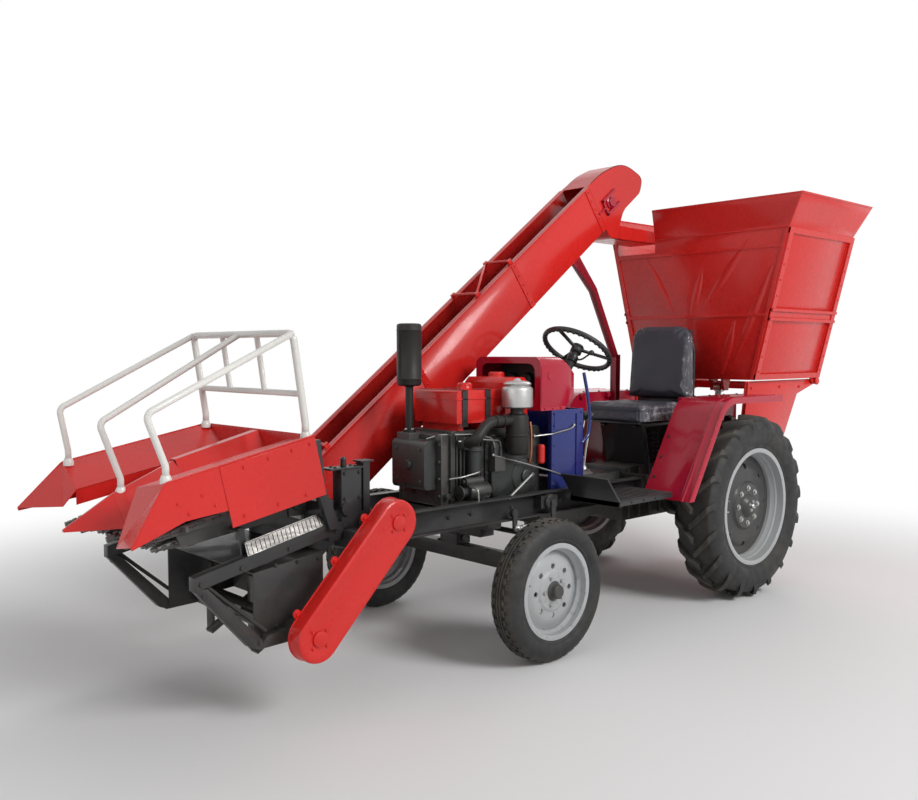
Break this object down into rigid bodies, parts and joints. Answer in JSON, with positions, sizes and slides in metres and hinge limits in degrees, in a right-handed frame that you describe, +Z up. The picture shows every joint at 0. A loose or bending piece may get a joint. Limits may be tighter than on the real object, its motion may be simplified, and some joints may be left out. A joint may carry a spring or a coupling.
{
  "type": "mini corn combine harvester",
  "caption": "Small two-row corn harvester: lifting picking header with stalk chopper, open flight elevator and a tipping cob bin on a small diesel tractor.",
  "frame": {"origin": "on the ground under the middle of the whole machine's box", "axes": "+X forward, +Y to the machine's left, +Z up"},
  "size_m": [4.81, 1.46, 2.548],
  "materials": {
    "red_paint": "gloss",
    "maroon_paint": "gloss",
    "dark_frame_paint": "satin",
    "engine_iron": "rough",
    "blue_paint": "satin",
    "white_tube_paint": "gloss",
    "silver_rim_paint": "satin",
    "dark_disc_paint": "satin",
    "tyre_rubber": "matt",
    "seat_vinyl": "satin",
    "black_plastic": "matt",
    "bare_steel": "worn",
    "muffler_black": "matt"
  },
  "bodies": {
    "chassis": {"chassis_frame": "dark_frame_paint", "front_axle": "dark_frame_paint", "transaxle": "engine_iron", "engine_block": "engine_iron", "exhaust_muffler": "muffler_black", "fuel_tank": "red_paint", "radiator_hood": "red_paint", "air_cleaner": "black_plastic", "dash_cowl": "red_paint", "side_panels": "blue_paint", "steering_column": "dark_frame_paint", "gear_levers": "bare_steel", "footplates": "dark_frame_paint", "fenders": "maroon_paint", "seat_base": "dark_frame_paint", "seat_cushion": "seat_vinyl", "seat_backrest": "seat_vinyl", "elevator_trough": "red_paint", "elevator_hood": "red_paint", "elevator_chain": "bare_steel", "elevator_strut": "maroon_paint", "hopper_stand": "red_paint"},
    "flywheel": {"flywheel": "engine_iron"},
    "steering_wheel": {"steering_wheel": "black_plastic"},
    "knuckle_left": {"knuckle_left": "dark_frame_paint"},
    "knuckle_right": {"knuckle_right": "dark_frame_paint"},
    "tie_rod": {"tie_rod": "dark_frame_paint"},
    "wheel_front_left": {"tyre_front_left": "tyre_rubber", "rim_front_left": "silver_rim_paint"},
    "wheel_front_right": {"tyre_front_right": "tyre_rubber", "rim_front_right": "silver_rim_paint"},
    "wheel_rear_left": {"tyre_rear_left": "tyre_rubber", "rim_rear_left": "silver_rim_paint"},
    "wheel_rear_right": {"tyre_rear_right": "tyre_rubber", "rim_rear_right": "silver_rim_paint"},
    "header": {"header_hood": "red_paint", "header_frame": "dark_frame_paint", "row_units": "bare_steel", "gathering_chains": "engine_iron", "guard_hoop": "white_tube_paint", "chain_cover": "red_paint", "chopper_housing": "dark_frame_paint"},
    "chopper_rotor": {"chopper_rotor": "engine_iron"},
    "header_cylinder_barrel": {"header_cylinder_barrel": "dark_frame_paint"},
    "header_cylinder_rod": {"header_cylinder_rod": "bare_steel"},
    "hopper": {"hopper_bin": "red_paint"},
    "hopper_tailgate": {"hopper_tailgate": "red_paint"},
    "hopper_cylinder_barrel": {"hopper_cylinder_barrel": "dark_frame_paint"},
    "hopper_cylinder_rod": {"hopper_cylinder_rod": "bare_steel"}
  },
  "joints": [
    {"name": "steer_left", "type": "hinge", "parent": "chassis", "child": "knuckle_left", "pos_m": [0.505, 0.505, 0.4], "axis": [0, 0, 1], "range_deg": [-35, 35]},
    {"name": "roll_front_left", "type": "hinge", "parent": "knuckle_left", "child": "wheel_front_left", "pos_m": [0.505, 0.612, 0.318], "axis": [0, 1, 0], "continuous": true},
    {"name": "roll_rear_left", "type": "hinge", "parent": "chassis", "child": "wheel_rear_left", "pos_m": [-1.135, 0.59, 0.512], "axis": [0, 1, 0], "continuous": true},
    {"name": "steer_right", "type": "hinge", "parent": "chassis", "child": "knuckle_right", "pos_m": [0.505, -0.505, 0.4], "axis": [0, 0, 1], "range_deg": [-35, 35]},
    {"name": "roll_front_right", "type": "hinge", "parent": "knuckle_right", "child": "wheel_front_right", "pos_m": [0.505, -0.612, 0.318], "axis": [0, 1, 0], "continuous": true},
    {"name": "roll_rear_right", "type": "hinge", "parent": "chassis", "child": "wheel_rear_right", "pos_m": [-1.135, -0.59, 0.512], "axis": [0, 1, 0], "continuous": true},
    {"name": "tie_rod_swing", "type": "hinge", "parent": "knuckle_left", "child": "tie_rod", "pos_m": [0.37, 0.505, 0.5], "axis": [0, 0, 1], "range_deg": [-36, 36]},
    {"name": "steering_wheel_turn", "type": "hinge", "parent": "chassis", "child": "steering_wheel", "pos_m": [-0.405, 0, 1.385], "axis": [-0.5736, 0, 0.8192], "range_deg": [-360, 360]},
    {"name": "flywheel_spin", "type": "hinge", "parent": "chassis", "child": "flywheel", "pos_m": [0.3, -0.225, 0.885], "axis": [0, 1, 0], "continuous": true},
    {"name": "header_lift", "type": "hinge", "parent": "chassis", "child": "header", "pos_m": [1.295, 0, 0.705], "axis": [0, -1, 0], "range_deg": [-28, 6]},
    {"name": "chopper_spin", "type": "hinge", "parent": "header", "child": "chopper_rotor", "pos_m": [1.668, 0, 0.322], "axis": [0, 1, 0], "continuous": true},
    {"name": "header_barrel_swing", "type": "hinge", "parent": "chassis", "child": "header_cylinder_barrel", "pos_m": [0.905, 0, 0.47], "axis": [0, -1, 0], "range_deg": [-4.92, 1.84]},
    {"name": "header_rod_slide", "type": "slide", "parent": "header_cylinder_barrel", "child": "header_cylinder_rod", "axis": [0.9701, 0, 0.2425], "range_m": [-0.0753, 0.0177]},
    {"name": "hopper_tip", "type": "hinge", "parent": "chassis", "child": "hopper", "pos_m": [-2.33, 0, 1.18], "axis": [0, -1, 0], "range_deg": [0, 45]},
    {"name": "tailgate_swing", "type": "hinge", "parent": "hopper", "child": "hopper_tailgate", "pos_m": [-2.374, 0, 2.07], "axis": [0, 1, 0], "range_deg": [0, 75]},
    {"name": "hopper_barrel_swing", "type": "hinge", "parent": "chassis", "child": "hopper_cylinder_barrel", "pos_m": [-1.7, 0, 0.6], "axis": [0, -1, 0], "range_deg": [-1, 1.88]},
    {"name": "hopper_rod_slide", "type": "slide", "parent": "hopper_cylinder_barrel", "child": "hopper_cylinder_rod", "axis": [-0.2676, 0, 0.9635], "range_m": [-0.002, 0.3705]}
  ],
  "couplings": [
    {"joint": "steer_right", "follows": "steer_left", "ratio": 1},
    {"joint": "tie_rod_swing", "follows": "steer_left", "ratio": -1},
    {"joint": "steering_wheel_turn", "follows": "steer_left", "ratio": 8},
    {"joint": "header_barrel_swing", "follows": "header_lift", "ratio": 0.14004},
    {"joint": "header_rod_slide", "follows": "header_lift", "m_per_rad": 0.15004},
    {"joint": "hopper_barrel_swing", "follows": "hopper_tip", "ratio": 0.01951},
    {"joint": "hopper_rod_slide", "follows": "hopper_tip", "m_per_rad": 0.46917}
  ]
}
